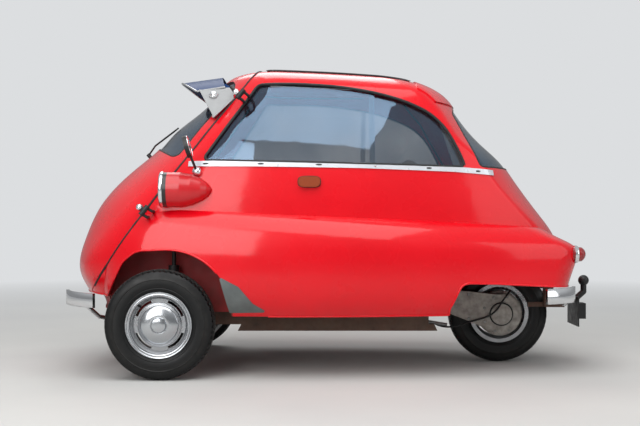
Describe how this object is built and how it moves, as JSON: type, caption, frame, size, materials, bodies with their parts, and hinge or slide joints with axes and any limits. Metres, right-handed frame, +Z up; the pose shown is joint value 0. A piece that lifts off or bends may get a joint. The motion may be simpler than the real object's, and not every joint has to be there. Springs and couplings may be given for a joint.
{
  "type": "bubble car",
  "caption": "Small egg-shaped three-wheeled car with a front door, pontoon sides, domed glass and a tow bar.",
  "frame": {"origin": "on the ground, midway between the nose and the tow ball, on the car's centre plane", "axes": "+X forward, +Y to the car's left, +Z up"},
  "size_m": [2.3768, 1.3921, 1.345],
  "materials": {
    "red_paint": "gloss",
    "dark_red_paint": "satin",
    "frame_brown": "matte, dusty",
    "black_paint": "satin",
    "chrome": "polished",
    "aluminium": "cast, dull",
    "polished_sheet": "polished",
    "silver_paint": "satin",
    "tyre_rubber": "matte",
    "clear_glass": "clear",
    "roof_fabric": "woven, matte",
    "seat_fabric": "woven",
    "lamp_glass": "clear",
    "lens_plastic": "translucent",
    "grip_plastic": "smooth"
  },
  "bodies": {
    "car": {"body_left": "red_paint", "body_right": "red_paint", "body_tail": "red_paint", "roof_panel": "red_paint", "fabric_roof": "roof_fabric", "floor_pan": "dark_red_paint", "chassis_frame": "frame_brown", "front_axle": "black_paint", "rear_arm": "black_paint", "chain_case": "aluminium", "engine": "aluminium", "exhaust": "black_paint", "seat_box": "dark_red_paint", "seat_base": "seat_fabric", "seat_back": "seat_fabric", "side_windows": "clear_glass", "rear_window": "clear_glass", "belt_strips": "chrome", "stone_guards": "polished_sheet", "headlamp_pods": "red_paint", "headlamp_faces": "lamp_glass", "lamps": "lens_plastic", "mirror": "black_paint", "front_bumpers": "chrome", "rear_bumpers": "chrome", "tow_bar": "black_paint", "controls": "black_paint", "hinge_mounts": "black_paint", "steering_column": "red_paint"},
    "door": {"door_panel": "red_paint", "windscreen": "clear_glass", "sun_visor": "polished_sheet", "wiper": "black_paint", "door_handle": "chrome", "hinge_arms": "black_paint"},
    "steering_wheel": {"steering_wheel": "grip_plastic"},
    "knuckle_left": {"knuckle_left": "black_paint"},
    "knuckle_right": {"knuckle_right": "black_paint"},
    "wheel_left": {"rim_left": "silver_paint", "tyre_left": "tyre_rubber"},
    "wheel_right": {"rim_right": "silver_paint", "tyre_right": "tyre_rubber"},
    "wheel_rear": {"rim_rear": "silver_paint", "tyre_rear": "tyre_rubber"},
    "engine_lid": {"engine_lid": "red_paint"}
  },
  "joints": [
    {"name": "door_hinge", "type": "hinge", "parent": "car", "child": "door", "pos_m": [0.807, 0.64, 0.704], "axis": [-0.6082, -0.1867, 0.7715], "range_deg": [0, 75]},
    {"name": "steering_wheel_turn", "type": "hinge", "parent": "car", "child": "steering_wheel", "pos_m": [0.56222, 0.25, 0.77808], "axis": [-0.6578, 0, 0.7532], "range_deg": [-280, 280]},
    {"name": "steer_left", "type": "hinge", "parent": "car", "child": "knuckle_left", "pos_m": [0.745, 0.52, 0.23], "axis": [0, 0, 1], "range_deg": [-28, 28]},
    {"name": "steer_right", "type": "hinge", "parent": "car", "child": "knuckle_right", "pos_m": [0.745, -0.52, 0.23], "axis": [0, 0, 1], "range_deg": [-28, 28]},
    {"name": "spin_left", "type": "hinge", "parent": "knuckle_left", "child": "wheel_left", "pos_m": [0.745, 0.6, 0.23], "axis": [0, 1, 0], "continuous": true},
    {"name": "spin_right", "type": "hinge", "parent": "knuckle_right", "child": "wheel_right", "pos_m": [0.745, -0.6, 0.23], "axis": [0, 1, 0], "continuous": true},
    {"name": "spin_rear", "type": "hinge", "parent": "car", "child": "wheel_rear", "pos_m": [-0.755, 0, 0.23], "axis": [0, 1, 0], "continuous": true},
    {"name": "engine_lid_hinge", "type": "hinge", "parent": "car", "child": "engine_lid", "pos_m": [-0.43, -0.634, 0.437], "axis": [0.9826, -0.1857, 0], "range_deg": [0, 70]}
  ],
  "couplings": [
    {"joint": "steer_right", "follows": "steer_left", "ratio": 1},
    {"joint": "steering_wheel_turn", "follows": "steer_left", "ratio": 10}
  ]
}
